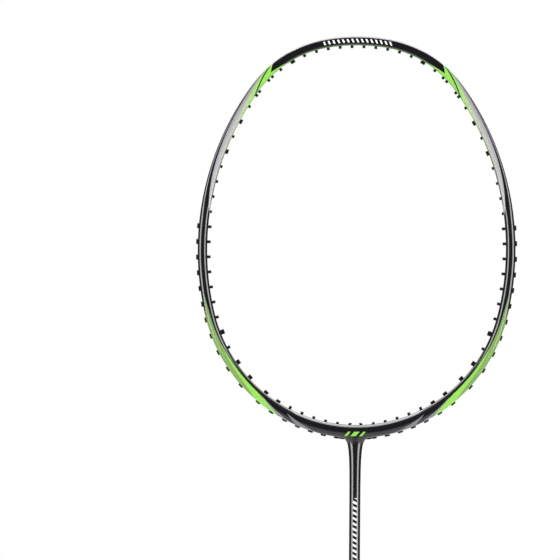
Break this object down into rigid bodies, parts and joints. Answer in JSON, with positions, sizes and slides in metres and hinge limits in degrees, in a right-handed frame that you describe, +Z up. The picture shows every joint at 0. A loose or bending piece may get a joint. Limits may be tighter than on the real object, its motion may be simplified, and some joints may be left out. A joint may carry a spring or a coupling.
{
  "type": "badminton racket",
  "caption": "Unstrung badminton racket: oval hollow frame with a nylon grommet in each string hole, slim round shaft, cone and an octagonal gripped handle.",
  "frame": {"origin": "middle of the butt's flat end", "axes": "+Z up the shaft towards the top of the head, +X across the head in the string plane, +Y through the head's opening"},
  "size_m": [0.2038, 0.0292, 0.675],
  "materials": {
    "frame_lacquer": "glossy black lacquer over carbon, with lime green and silver fades",
    "shaft_lacquer": "glossy black lacquer over carbon",
    "joint_metal": "as cast",
    "grommet_nylon": "satin moulded nylon",
    "cone_plastic": "glossy moulded plastic",
    "handle_wood": "bare sanded wood",
    "cap_plastic": "fine moulded grain",
    "badge_plastic": "glossy doming",
    "grip_polyurethane": "tacky polyurethane film on felt",
    "tape_vinyl": "satin adhesive tape",
    "staple_steel": "zinc plated"
  },
  "bodies": {
    "root": {"head_frame": "frame_lacquer", "t_joint": "joint_metal", "shaft": "shaft_lacquer", "cone_cap": "cone_plastic", "handle_core": "handle_wood", "butt_cap": "cap_plastic", "butt_badge": "badge_plastic", "base_grip": "grip_polyurethane", "finishing_tape": "tape_vinyl", "grip_staple": "staple_steel", "grommets_crown": "grommet_nylon", "wide_grommets_crown": "grommet_nylon", "grommets_shoulder_left": "grommet_nylon", "grommets_shoulder_right": "grommet_nylon", "wide_grommets_shoulder_left": "grommet_nylon", "wide_grommets_shoulder_right": "grommet_nylon", "grommets_upper_side_left": "grommet_nylon", "grommets_upper_side_right": "grommet_nylon", "grommets_side_left": "grommet_nylon", "grommets_side_right": "grommet_nylon", "wide_grommets_lower_left": "grommet_nylon", "wide_grommets_lower_right": "grommet_nylon", "grommets_throat_left": "grommet_nylon", "grommets_throat_right": "grommet_nylon", "grommets_neck": "grommet_nylon"}
  },
  "joints": []
}
